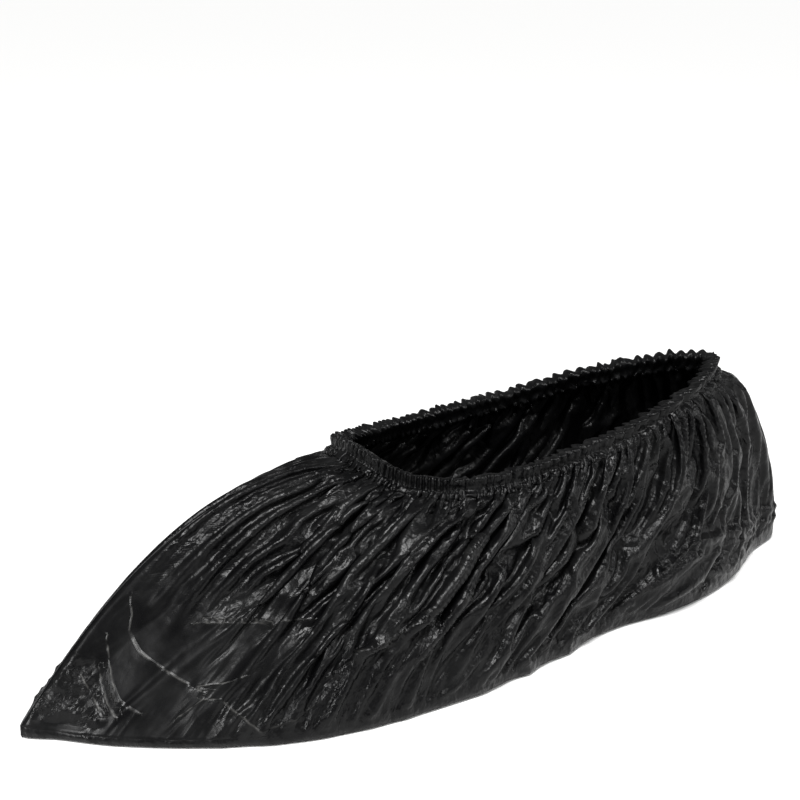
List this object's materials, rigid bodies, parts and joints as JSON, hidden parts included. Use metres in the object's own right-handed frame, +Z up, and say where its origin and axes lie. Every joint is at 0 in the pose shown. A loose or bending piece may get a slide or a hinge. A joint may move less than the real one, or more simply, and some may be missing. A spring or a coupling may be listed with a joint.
{
  "type": "disposable boot cover",
  "caption": "Thin black film overshoe with a gathered elastic opening, pinched toe and heel ends and a flat sole, standing open as over a boot.",
  "frame": {"origin": "on the floor under the middle of the cover's bounding box", "axes": "+Z up, toe towards -Y, heel towards +Y, +X is the side that the picture shows"},
  "size_m": [0.1242, 0.368, 0.0973],
  "materials": {
    "film": "thin embossed polyethylene film, black, soft sheen, creased",
    "hem_film": "the same film folded over and drawn into fine pleats",
    "elastic": "matt natural rubber strip"
  },
  "bodies": {
    "root": {"film_bag": "film", "gathered_hem": "hem_film", "elastic_ring": "elastic"}
  },
  "joints": []
}
